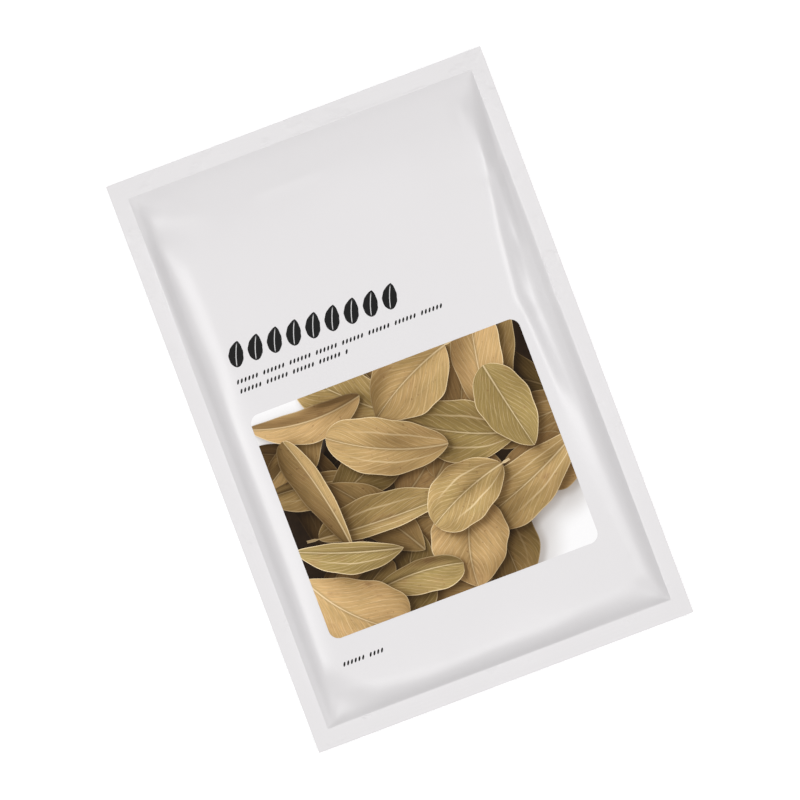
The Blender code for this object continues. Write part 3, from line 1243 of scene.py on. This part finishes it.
@dataclass
class PrintedLeaf:
    """One leaf of the printed picture, flat, with the shading of a curled leaf."""

    number: int
    middle: Point
    turn: float
    length: float
    half_width: float
    outline: LeafOutline
    bend: float = 0.0
    halves: Point = (1.0, 1.0)
    cup: float = 0.0
    fold: float = 0.0
    arch: float = 0.0
    curl: float = 0.0
    ripple: float = 0.0
    stand: float = 1.0
    tone: float = 0.0
    brightness: float = 1.0
    laterals: float = 0.0
    stalk: float = 0.0
    level: int = 0
    margin_wave: float = 0.025
    margin_waves: float = 3.4
    margin_slant: float = 0.9
    bow_level: float = 0.33
    stalk_share: float = 0.1
    stalk_half_width: float = 0.42
    end_half_width: float = 0.12
    stalk_rows: int = 3
    fewest_rows: int = 8
    fewest_columns: int = 3

    def half_width_at(self, along: Numbers, side: Numbers) -> Numbers:
        """Give the half width on one side of the midrib.

        Args:
            along: The share of the length.
            side: A number whose sign tells the side.

        Returns:
            The half width, 0 beyond the blade's ends.
        """
        rise, fall = self.outline.value
        widest = rise / (rise + fall)
        full = widest**rise * (1.0 - widest) ** fall
        share = np.clip(along, 0.0, 1.0)
        waves = np.sin(math.tau * self.margin_waves * share + self.number + np.sign(side))
        half = self.half_width * np.where(side < 0, self.halves[0], self.halves[1])
        return half * (1.0 + self.margin_wave * waves) * share**rise * (1.0 - share) ** fall / full

    def least_half_width(self, on_stalk: Numbers) -> Numbers:
        """Give the least half width: the stalk's, or that of the blade's ends."""
        return np.where(on_stalk, self.stalk_half_width, self.end_half_width)

    def bow(self, along: Numbers) -> Numbers:
        """Give how far the midrib bows aside at a share of the length."""
        return self.bend * self.length * (4.0 * (along - 0.5) ** 2 - self.bow_level)

    def place(self, along: Numbers, across: Numbers) -> tuple[Numbers, Numbers]:
        """Turn a place on the leaf into a place on the pouch.

        Args:
            along: The share of the leaf's length.
            across: The distance across, from its midrib.

        Returns:
            The place's X and Y.
        """
        run = self.length * (along - 0.5)
        aside = self.bow(along) + across
        x = self.middle[0] + run * math.cos(self.turn) + aside * math.sin(self.turn)
        y = self.middle[1] + run * math.sin(self.turn) - aside * math.cos(self.turn)
        return x, y

    def locate(self, x: Numbers, y: Numbers) -> tuple[Numbers, Numbers]:
        """Turn a place on the pouch into a place on the leaf.

        Args:
            x: The place's X.
            y: The place's Y.

        Returns:
            The share of the leaf's length, and the distance across, from its midrib.
        """
        from_x, from_y = x - self.middle[0], y - self.middle[1]
        along = (from_x * math.cos(self.turn) + from_y * math.sin(self.turn)) / self.length + 0.5
        aside = from_x * math.sin(self.turn) - from_y * math.cos(self.turn)
        return along, aside - self.bow(np.clip(along, -self.stalk_share, 1.0))

    def inset(self, x: Numbers, y: Numbers) -> Numbers:
        """Measure about how far some points lie inside the leaf's outline.

        Args:
            x: The points' X.
            y: The points' Y.

        Returns:
            The distances, negative outside.
        """
        along, across = self.locate(x, y)
        beyond = np.maximum(np.maximum(-along, along - 1.0), 0.0) * self.length
        within = self.margin_slant * (self.half_width_at(along, across) - np.abs(across))
        return np.where(beyond > 0.0, -np.hypot(beyond, across), within)

    def light(self, along: Numbers, side: Numbers) -> Numbers:
        """Work out the light that a curled leaf of this form would catch.

        Args:
            along: The share of the length.
            side: The share of the half width, negative on one side.

        Returns:
            The light, about 1 where the leaf is flat.
        """
        curling = PRINT_CURLING
        phase = curling.phase * self.number
        swing = self.ripple * np.sin(math.tau * curling.swings * along + phase)
        dent_across = np.sin(math.tau * curling.dents_across * side + curling.dent_shift * phase)
        dent = self.ripple * dent_across * np.sin(math.tau * curling.dents_along * along + phase)
        facing_side = np.clip(side / curling.rib_share, -1.0, 1.0)
        edge = self.curl * facing_side * smooth_step(curling.edge_start, 1.0, np.abs(side))
        slope_across = -(2.0 * self.cup * side + self.fold * facing_side + edge + swing * side + dent)
        lengthwise = curling.dent_lengthwise * dent + curling.swing_lengthwise * swing
        slope_along = -4.0 * self.arch * (along - 0.5) - lengthwise
        slope_x = slope_along * math.cos(self.turn) + slope_across * math.sin(self.turn)
        slope_y = slope_along * math.sin(self.turn) - slope_across * math.cos(self.turn)
        lamp = curling.lamp.normalized()
        facing = slope_x * lamp.x + slope_y * lamp.y + lamp.z
        light = facing / np.sqrt(1.0 + slope_x**2 + slope_y**2) / lamp.z
        return np.clip(light, *curling.light_limits)

    def sheet(self, cell: float) -> bmesh.types.BMesh:
        """Make the leaf's flat outline, with its stalk.

        Args:
            cell: About the size of a cell of its grid.

        Returns:
            The flat shape, in its place on the pouch.
        """
        rows = max(round(self.length / cell), self.fewest_rows)
        stalk_rows = self.stalk_rows if self.stalk else 0
        columns = 2 * max(round(self.half_width / cell), self.fewest_columns)
        shape = bmesh.new()
        bmesh.ops.create_grid(shape, x_segments=columns, y_segments=rows + stalk_rows, size=0.5)
        spots = spots_of(shape)
        side = 2.0 * spots[:, 0]
        row = np.rint((spots[:, 1] + 0.5) * (rows + stalk_rows)) - stalk_rows
        share = np.clip(row / rows, 0.0, 1.0)
        # Rows lie closer towards both ends of the blade
        along = 0.5 * share + 0.25 * (1.0 - np.cos(math.pi * share))
        along = along + np.minimum(row, 0.0) / max(stalk_rows, 1) * self.stalk / self.length
        half = np.maximum(self.half_width_at(along, side), self.least_half_width(row < 0))
        x, y = self.place(along, side * half)
        put_spots(shape, x, y, np.zeros_like(x))
        return shape


@dataclass(frozen=True)
class Tier:
    """One layer of the printed pile: leaves on a loose grid."""

    columns: int
    rows: int
    length: Point
    half_width: Point
    stray: float
    brightness: Point


@dataclass(frozen=True)
class Habit:
    """One kind of printed leaf: what is left of its lesser half, its fold, and its share of width."""

    slim: Point
    fold: Point
    width: float


OPEN = Habit(slim=(0.88, 1.0), fold=(-0.10, 0.20), width=1.0)
FOLDED = Habit(slim=(0.35, 0.65), fold=(0.28, 0.60), width=0.75)


@dataclass(frozen=True)
class Shadow:
    """Shadow that a printed leaf throws, for a leaf that stands one millimetre over its pile."""

    run: Point
    outer_fade: float
    inner_fade: float
    strength: float

    def light_left(self, leaf: PrintedLeaf, x: Numbers, y: Numbers) -> Numbers:
        """Give the share of the light that a leaf leaves.

        Args:
            leaf: The leaf that throws the shadow.
            x: The X of the points under it.
            y: The Y of the points under it.

        Returns:
            The share at each point.
        """
        inset = leaf.inset(x - self.run[0] * leaf.stand, y - self.run[1] * leaf.stand)
        return 1.0 - self.strength * smooth_step(-self.outer_fade * leaf.stand, self.inner_fade, inset)


@dataclass
class PrintedPicture:
    """Picture of a pile of dried leaves on white, in a layout drawn from a seed."""

    form: SwollenForm
    frame: PictureFrame = PictureFrame()
    seed: int = 23
    cell: float = 0.7
    lift: float = 0.015
    level_lift: float = 0.010
    shadows: tuple[Shadow, ...] = (
        Shadow((0.75, -0.85), 1.3, 0.8, 0.60),
        Shadow((1.80, -2.04), 5.0, 2.0, 0.36),
    )
    shaded_reach: float = 50.0
    hidden_inset: float = 0.6
    overlap_margin: float = 0.6
    far_margin: float = 1.0
    probe_rows: int = 25
    probe_columns: int = 9
    depth_fade: float = 9.0
    folded_share: float = 0.34
    veined_share: float = 0.5
    stalked_share: float = 0.6
    clear_corners: tuple[tuple[float, float, float], ...] = ((-44.4, 10.7, 16.0), (41.4, -61.0, 18.0))
    tiers: tuple[Tier, ...] = (
        Tier(4, 3, (28.0, 36.0), (7.0, 9.5), 0.24, (0.14, 0.28)),
        Tier(5, 4, (27.0, 37.0), (7.0, 11.0), 0.24, (0.42, 0.72)),
        Tier(4, 4, (26.0, 42.0), (7.5, 13.0), 0.24, (0.92, 1.20)),
    )

    def draw_leaf(self, number: int, middle: Point, tier: Tier, draw: random.Random) -> PrintedLeaf:
        """Draw one leaf's form.

        Args:
            number: The leaf's place in the pile, from the lowest up.
            middle: The middle of the leaf.
            tier: The layer that it lies in.
            draw: The seeded source of chance.

        Returns:
            The leaf.
        """
        habit = FOLDED if draw.random() < self.folded_share else OPEN
        slim = draw.uniform(*habit.slim)
        half_width = draw.uniform(*tier.half_width)
        return PrintedLeaf(
            number=number,
            middle=middle,
            turn=draw.uniform(0.0, math.tau),
            length=draw.uniform(*tier.length),
            half_width=half_width * habit.width,
            outline=draw.choice(list(LeafOutline)),
            bend=draw.uniform(-0.09, 0.09),
            halves=(slim, 1.0) if draw.random() < 0.5 else (1.0, slim),
            cup=draw.uniform(-0.16, 0.30),
            fold=draw.uniform(*habit.fold),
            arch=draw.uniform(-0.28, 0.28),
            curl=draw.uniform(-0.25, 0.45),
            ripple=draw.uniform(0.05, 0.22),
            stand=draw.uniform(0.6, 1.7),
            tone=draw.uniform(-0.10, 1.10),
            brightness=draw.uniform(*tier.brightness),
            laterals=1.0 if draw.random() < self.veined_share else 0.1,
            stalk=draw.uniform(2.2, 3.8) if draw.random() < self.stalked_share else 0.0,
        )

    def pile(self) -> list[PrintedLeaf]:
        """Lay the leaves, from the lowest up, leaving the clear corners white.

        Returns:
            The leaves, each with its level over the film.
        """
        draw = random.Random(self.seed)
        leaves: list[PrintedLeaf] = []
        for tier in self.tiers:
            spots = [(column, row) for column in range(tier.columns) for row in range(tier.rows)]
            draw.shuffle(spots)
            for column, row in spots:
                middle = self.spot(tier, column, row, draw)
                leaf = self.draw_leaf(len(leaves), middle, tier, draw)
                if not self.in_clear_corner(middle):
                    leaves.append(leaf)
        for leaf in leaves:
            under = [other.level for other in leaves[: leaf.number] if self.overlap(leaf, other)]
            leaf.level = 1 + max(under, default=0)
        return leaves

    def spot(self, tier: Tier, column: int, row: int, draw: random.Random) -> Point:
        """Draw the middle of a leaf near its grid place.

        Args:
            tier: The layer that it lies in.
            column: Its column in the layer.
            row: Its row in the layer.
            draw: The seeded source of chance.

        Returns:
            The middle's X and Y.
        """
        wide = (self.frame.right - self.frame.left) / tier.columns
        high = (self.frame.top - self.frame.bottom) / tier.rows
        x = self.frame.left + (column + 0.5 + draw.uniform(-tier.stray, tier.stray)) * wide
        y = self.frame.bottom + (row + 0.5 + draw.uniform(-tier.stray, tier.stray)) * high
        return x, y

    def in_clear_corner(self, middle: Point) -> bool:
        """Tell whether a leaf's middle lies in a corner that stays white."""
        return any(math.dist(middle, (x, y)) < reach for x, y, reach in self.clear_corners)

    def overlap(self, upper: PrintedLeaf, lower: PrintedLeaf) -> bool:
        """Tell whether two leaves overlap.

        Args:
            upper: The leaf that lies higher.
            lower: The leaf that lies lower.

        Returns:
            True if a probe point of the upper leaf lies in the lower one, or almost.
        """
        apart = math.dist(upper.middle, lower.middle)
        if apart > (upper.length + lower.length) / 2 + self.far_margin:
            return False
        along, side = np.meshgrid(
            np.linspace(0.0, 1.0, self.probe_rows), np.linspace(-1.0, 1.0, self.probe_columns)
        )
        x, y = upper.place(along, side * upper.half_width_at(along, side))
        return bool(np.any(lower.inset(x, y) > -self.overlap_margin))

    def shadow(self, x: Numbers, y: Numbers, above: list[PrintedLeaf]) -> Numbers:
        """Give the light left at points under a leaf's neighbours.

        Args:
            x: The points' X.
            y: The points' Y.
            above: The leaves that lie higher.

        Returns:
            The share of the light that reaches each point.
        """
        left = np.ones_like(x)
        for leaf in above:
            for shadow in self.shadows:
                left = left * shadow.light_left(leaf, x, y)
        return left

    def dress_leaf(self, leaf: PrintedLeaf, above: list[PrintedLeaf]) -> bmesh.types.BMesh:
        """Make one leaf of the picture: trimmed, shaded, without what lies covered.

        Args:
            leaf: The leaf.
            above: The leaves that lie higher.

        Returns:
            The leaf's sheet, on the film.
        """
        shape = leaf.sheet(self.cell)
        spots = spots_of(shape)
        if not self.frame.holds(spots[:, 0], spots[:, 1]):
            self.frame.trim(shape)
        spots = spots_of(shape)
        x, y = spots[:, 0], spots[:, 1]
        near = [other for other in above if math.dist(leaf.middle, other.middle) < self.shaded_reach]
        covered = np.zeros(len(x), bool)
        for other in near:
            covered |= other.inset(x, y) > self.hidden_inset
        along, across = leaf.locate(x, y)
        half = np.maximum(leaf.half_width_at(along, across), leaf.least_half_width(along < 0.0))
        side = np.where(along < 0.0, 0.0, np.clip(across / half, -1.0, 1.0))
        light = leaf.light(along, side) * leaf.brightness * self.shadow(x, y, near)
        ones = np.ones_like(x)
        put_values(shape, "leaf_place", along * leaf.length, across, ones * leaf.number)
        put_values(shape, "leaf_form", along, side, half - np.abs(across))
        put_values(shape, "leaf_light", light, ones * leaf.tone, ones * leaf.laterals)
        lift = self.lift + self.level_lift * leaf.level
        put_spots(shape, x, y, self.form.front(x, y) + lift)
        shape.verts.index_update()
        hidden = [face for face in shape.faces if all(covered[vertex.index] for vertex in face.verts)]
        bmesh.ops.delete(shape, geom=hidden, context="FACES")
        return shape

    def build_leaves(self, leaves: list[PrintedLeaf], material: bpy.types.Material) -> bpy.types.Object:
        """Make the printed leaves as one piece.

        Args:
            leaves: The pile, from the lowest leaf up.
            material: The print's material.

        Returns:
            The finished piece.
        """
        joined = bmesh.new()
        for leaf in leaves:
            add_to(joined, self.dress_leaf(leaf, leaves[leaf.number + 1 :]))
        return finish_piece("printed_leaves", joined, material)

    def build_ground(self, leaves: list[PrintedLeaf], material: bpy.types.Material) -> bpy.types.Object:
        """Make the white ground of the picture, dark under the pile.

        Args:
            leaves: The pile.
            material: The ground's material.

        Returns:
            The finished piece.
        """
        wide, high = self.frame.right - self.frame.left, self.frame.top - self.frame.bottom
        shape = bmesh.new()
        columns, rows = round(wide / self.cell), round(high / self.cell)
        bmesh.ops.create_grid(shape, x_segments=columns, y_segments=rows, size=0.5)
        spots = spots_of(shape)
        x = self.frame.left + (spots[:, 0] + 0.5) * wide
        y = self.frame.bottom + (spots[:, 1] + 0.5) * high
        put_spots(shape, x, y, np.zeros_like(x))
        self.frame.trim(shape)
        spots = spots_of(shape)
        x, y = spots[:, 0], spots[:, 1]
        shade = 1.0 - self.shadow(x, y, leaves)
        depth = np.ones_like(x)
        for corner_x, corner_y, reach in self.clear_corners:
            away = np.hypot(x - corner_x, y - corner_y)
            depth = depth * smooth_step(reach, reach + self.depth_fade, away)
        put_values(shape, "leaf_light", shade, depth, np.zeros_like(x))
        put_spots(shape, x, y, self.form.front(x, y) + self.lift)
        return finish_piece("printed_ground", shape, material)


@dataclass
class PrintedMarks:
    """Plain ornaments in black: a frieze of small leaves and three fine rows of seeds."""

    form: SwollenForm
    frieze_left: float = -44.0
    frieze_right: float = 11.2
    frieze_middle: float = 29.9
    frieze_leaves: int = 9
    leaf_length: float = 7.9
    leaf_half_width: float = 2.25
    leaf_lean: float = math.radians(-20.0)
    leaf_cell: float = 0.35
    rib_start: Point = (0.02, 0.12)
    rib_end: Point = (0.95, 0.80)
    row_left: float = -44.0
    rows: tuple[tuple[float, float], ...] = ((22.2, 21.9), (-8.7, 19.0), (-30.3, -68.3))
    seed_pitch: float = 1.2
    seed_half_length: float = 0.78
    seed_half_width: float = 0.30
    seed_lean: float = math.radians(62.0)
    seeds_to_a_gap: int = 6
    lift: float = 0.02

    def build_frieze(self, material: bpy.types.Material) -> bpy.types.Object:
        """Make the frieze of small leaves, which all lean the same way.

        Args:
            material: The ink.

        Returns:
            The finished piece.
        """
        joined = bmesh.new()
        pitch = (self.frieze_right - self.frieze_left) / self.frieze_leaves
        for number in range(self.frieze_leaves):
            leaf = PrintedLeaf(
                number=0,
                middle=(self.frieze_left + (number + 0.5) * pitch, self.frieze_middle),
                turn=math.pi / 2 + self.leaf_lean,
                length=self.leaf_length,
                half_width=self.leaf_half_width,
                outline=LeafOutline.EGG,
                bend=0.04,
            )
            shape = leaf.sheet(self.leaf_cell)
            spots = spots_of(shape)
            along, across = leaf.locate(spots[:, 0], spots[:, 1])
            ribbed = smooth_step(*self.rib_start, along) * smooth_step(*self.rib_end, along)
            put_values(shape, "leaf_place", along * leaf.length, across, ribbed)
            add_to(joined, shape)
        return self.lay(joined, "printed_frieze", material)

    def build_rows(self, material: bpy.types.Material) -> bpy.types.Object:
        """Make the rows of leaning seeds, with a gap after every few.

        Args:
            material: The ink.

        Returns:
            The finished piece.
        """
        joined = bmesh.new()
        turn = Matrix.Rotation(self.seed_lean, 3, "Z")
        for right, height in self.rows:
            count = round((right - self.row_left) / self.seed_pitch)
            for number in range(count):
                if number % (self.seeds_to_a_gap + 1) == self.seeds_to_a_gap:
                    continue
                place = (self.row_left + (number + 0.5) * self.seed_pitch, height, 0.0)
                made = bmesh.ops.create_circle(joined, cap_ends=True, segments=12, radius=1.0)["verts"]
                bmesh.ops.scale(joined, vec=(self.seed_half_length, self.seed_half_width, 1.0), verts=made)
                bmesh.ops.rotate(joined, matrix=turn, verts=made)
                bmesh.ops.translate(joined, vec=place, verts=made)
        none = np.zeros(len(joined.verts))
        put_values(joined, "leaf_place", none, none + 1.0, none)
        return self.lay(joined, "printed_rows", material)

    def lay(self, shape: bmesh.types.BMesh, name: str, material: bpy.types.Material) -> bpy.types.Object:
        """Lay a flat shape on the film and finish it.

        Args:
            shape: The flat shape. It is freed.
            name: The piece's name.
            material: The ink.

        Returns:
            The finished piece.
        """
        spots = spots_of(shape)
        x, y = spots[:, 0], spots[:, 1]
        put_spots(shape, x, y, self.form.front(x, y) + self.lift)
        return finish_piece(name, shape, material)


@dataclass
class LeafStack:
    """The dried leaves inside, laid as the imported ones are, with their veins in relief."""

    form: SwollenForm
    count: int = 6
    seed: int = 4
    length: Point = (119.0, 129.0)
    width: Point = (62.0, 69.0)
    fan: float = math.radians(13.0)
    shift_across: float = 7.0
    shift_along: float = 4.0
    centre: float = -9.0
    clearance: float = 0.3
    half_blade: float = 0.3
    stalk_length: float = 9.0
    stalk_half_width: float = 1.1
    rib_half_thickness: float = 0.5
    vein_pairs: int = 10
    vein_relief: float = 0.2
    vein_slant: float = 0.11
    vein_packing: float = 1.35
    vein_spread: float = 0.45
    vein_paleness: float = 0.8
    rib_spread: float = 0.55
    tip_power: float = 0.56
    tip_half_width: float = 0.5
    margin_wave: float = 0.025
    margin_waves: float = 5.0
    ripple: float = 0.35
    ripple_lengths: Point = (46.0, 71.0)
    stalk_rows: int = 6
    blade_rows: int = 150
    columns: int = 26

    def layer(self, x: Numbers, y: Numbers, level: float) -> Numbers:
        """Give the mid-height of a layer.

        Args:
            x: The points' X.
            y: The points' Y.
            level: The layer's level, from 0 on the back web to 1 under the front web.

        Returns:
            The heights.
        """
        low, high = self.form.cavity(x, y)
        reach = self.clearance + self.rib_half_thickness
        length_x, length_y = self.ripple_lengths
        wave = np.sin(math.tau * x / length_x) * np.sin(math.tau * y / length_y)
        loose = 4.0 * level * (1.0 - level)
        return low + reach + level * (high - low - 2.0 * reach) + self.ripple * loose * wave

    def blade_half_width(self, along: Numbers, half: float) -> Numbers:
        """Give the blade's half width.

        Args:
            along: The share of the blade's length.
            half: The greatest half width.

        Returns:
            The half width at each share.
        """
        share = np.clip(along, 0.0, 1.0)
        widest = 1.0 / (1.0 + self.tip_power)
        full = widest * (1.0 - widest) ** self.tip_power
        wave = 1.0 + self.margin_wave * np.sin(math.tau * self.margin_waves * share)
        return np.maximum(half * share * (1.0 - share) ** self.tip_power / full * wave, self.tip_half_width)

    def build_leaf(self, index: int, draw: random.Random, material: bpy.types.Material) -> bpy.types.Object:
        """Make one leaf.

        Args:
            index: The leaf's place in the stack, from the lowest up.
            draw: The seeded source of chance, shared by the stack.
            material: The leaf's material.

        Returns:
            The finished piece.
        """
        length = draw.uniform(*self.length)
        half = draw.uniform(*self.width) / 2
        turn = math.pi * (index % 2) + draw.uniform(-self.fan, self.fan)
        centre_x = draw.uniform(-self.shift_across, self.shift_across)
        centre_y = self.centre + draw.uniform(-self.shift_along, self.shift_along)
        rows = self.stalk_rows + self.blade_rows
        shape = grid_slab(self.columns, rows)
        spots = spots_of(shape)
        side = 2.0 * spots[:, 0]
        row = np.rint((spots[:, 1] + 0.5) * rows) - self.stalk_rows
        face = np.where(spots[:, 2] > 0.5, 1.0, -1.0)
        blade = np.clip(row / self.blade_rows, 0.0, 1.0)
        along = 1.0 - (1.0 - blade) ** self.vein_packing
        slanted = along + 4.0 * self.vein_slant * np.abs(side) * along * (1.0 - along)
        edge = np.maximum(self.blade_half_width(slanted, half), self.stalk_half_width * (1.0 - along))
        edge = np.where(row <= 0, self.stalk_half_width, edge)
        local_y = np.where(
            row <= 0,
            self.stalk_length * (1.0 + row / self.stalk_rows),
            self.stalk_length + slanted * (length - self.stalk_length),
        )
        local_x = side * edge
        off_rib = np.abs(local_x)
        rung = np.abs((blade * self.vein_pairs + 0.5) % 1.0 - 0.5) * (length / self.vein_pairs)
        vein = np.exp(-0.5 * (rung / self.vein_spread) ** 2) * (1.0 - np.abs(side)) * (row > 0)
        rib = np.exp(-0.5 * (off_rib / self.rib_spread) ** 2) * (1.0 - along)
        thick = self.half_blade + np.maximum(
            (self.rib_half_thickness - self.half_blade) * rib, self.vein_relief * vein
        )
        local_y = local_y - length / 2
        x = centre_x + local_x * math.cos(turn) - local_y * math.sin(turn)
        y = centre_y + local_x * math.sin(turn) + local_y * math.cos(turn)
        put_values(shape, "leaf_light", np.maximum(vein * self.vein_paleness, rib), side, along)
        put_spots(shape, x, y, self.layer(x, y, index / (self.count - 1)) + face * thick)
        node = f"dried_leaf_{index + 1}"
        piece = finish_piece(f"{node}_veined", shape, material)
        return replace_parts(piece, node)

    def build(self, material: bpy.types.Material) -> list[bpy.types.Object]:
        """Make the whole stack."""
        draw = random.Random(self.seed)
        return [self.build_leaf(index, draw, material) for index in range(self.count)]


@dataclass(frozen=True)
class SoftLight:
    """A square soft light, placed by its azimuth and its slant from straight above."""

    name: str
    azimuth: float
    slant: float
    distance: float
    size: float
    watts: float
    glints: bool = True

    def build(self) -> None:
        """Make the light, facing the pouch. One that doesn't glint stays out of reflections."""
        data = bpy.data.lights.new(self.name, "AREA")
        data.shape = "SQUARE"
        data.size = self.size
        data.energy = self.watts
        lamp = bpy.data.objects.new(self.name, data)
        bpy.context.scene.collection.objects.link(lamp)
        azimuth, slant = math.radians(self.azimuth), math.radians(self.slant)
        away = Vector((
            math.sin(slant) * math.cos(azimuth),
            math.sin(slant) * math.sin(azimuth),
            math.cos(slant),
        ))
        lamp.location = away * self.distance
        lamp.rotation_mode = "QUATERNION"
        lamp.rotation_quaternion = away.to_track_quat("Z", "Y")
        lamp.visible_camera = False
        lamp.visible_glossy = self.glints


STUDIO_LIGHTS = (
    SoftLight("right_strip", 0.0, 26.0, 1.10, 0.30, 2.74),
    SoftLight("left_strip", 180.0, 26.0, 1.10, 0.30, 2.92),
    SoftLight("foot_strip", 270.0, 26.0, 1.10, 0.30, 1.95),
    SoftLight("head_fill", 90.0, 42.0, 1.30, 0.90, 3.62),
    SoftLight("overhead", 0.0, 0.0, 1.55, 1.00, 6.78),
)


@dataclass
class Studio:
    """Camera, lights and floor, in metres."""

    turn: float = math.radians(-20.65)
    aim: Point = (0.00003, -0.00017)
    picture_width: float = 0.240
    lens: float = 200.0
    sensor: float = 36.0
    clip: Point = (0.05, 10.0)
    seal_height: float = 0.0039
    floor_size: float = 1.6
    floor_colour: Colour = (0.90, 0.90, 0.90)
    floor_glow: float = 0.30
    floor_roughness: float = 0.9
    floor_drop: float = 0.00005
    air: float = 0.04

    def build_camera(self) -> None:
        """Make the camera, straight above the pouch and turned against it."""
        data = bpy.data.cameras.new("camera")
        data.lens = self.lens
        data.sensor_width = self.sensor
        data.clip_start, data.clip_end = self.clip
        camera = bpy.data.objects.new("camera", data)
        bpy.context.scene.collection.objects.link(camera)
        distance = self.picture_width * self.lens / self.sensor
        camera.location = (*self.aim, self.seal_height + distance)
        camera.rotation_euler = (0.0, 0.0, self.turn)
        bpy.context.scene.camera = camera

    def build_lights(self) -> None:
        """Make the soft lights and a faint even glow."""
        for light in STUDIO_LIGHTS:
            light.build()
        world = bpy.data.worlds.new("world")
        world.use_nodes = True
        background = world.node_tree.nodes["Background"]
        background.inputs["Color"].default_value = (1.0, 1.0, 1.0, 1.0)
        background.inputs["Strength"].default_value = self.air
        bpy.context.scene.world = world

    def build_floor(self) -> None:
        """Make the plain floor."""
        bench = Workbench("floor")
        bench.shader.inputs["Base Color"].default_value = (*self.floor_colour, 1.0)
        bench.shader.inputs["Emission Color"].default_value = (1.0, 1.0, 1.0, 1.0)
        bench.shader.inputs["Emission Strength"].default_value = self.floor_glow
        bench.gloss(self.floor_roughness, 0.0)
        sheet = bmesh.new()
        bmesh.ops.create_grid(sheet, x_segments=1, y_segments=1, size=self.floor_size)
        bmesh.ops.translate(sheet, vec=(0.0, 0.0, -self.floor_drop), verts=sheet.verts[:])
        mesh = bpy.data.meshes.new("floor")
        sheet.to_mesh(mesh)
        sheet.free()
        mesh.materials.append(bench.material)
        floor = bpy.data.objects.new("floor", mesh)
        bpy.context.scene.collection.objects.link(floor)

    def build(self) -> None:
        """Make the whole studio."""
        self.build_camera()
        self.build_lights()
        self.build_floor()
        bpy.context.scene.view_settings.view_transform = "Standard"


def main() -> None:
    """Build the studio and every piece of the pouch."""
    logging.basicConfig(level=logging.INFO, format="%(message)s")
    Studio().build()
    low, high = node_box("front_film")
    form = SwollenForm(width=high.x - low.x, length=high.y - low.y)
    film = FilmFinish(form.inner_x, form.inner_y).make()
    for side in WebSide:
        report(FilmWeb(form, side).build(film))
    picture = PrintedPicture(form)
    leaves = picture.pile()
    report(picture.build_ground(leaves, PictureGroundFinish().make()))
    report(picture.build_leaves(leaves, PrintedLeafFinish().make()))
    marks = PrintedMarks(form)
    ink = BlackInkFinish().make()
    report(marks.build_frieze(ink))
    report(marks.build_rows(ink))
    for piece in LeafStack(form).build(DriedLeafFinish().make()):
        report(piece)


if __name__ == "__main__":
    main()
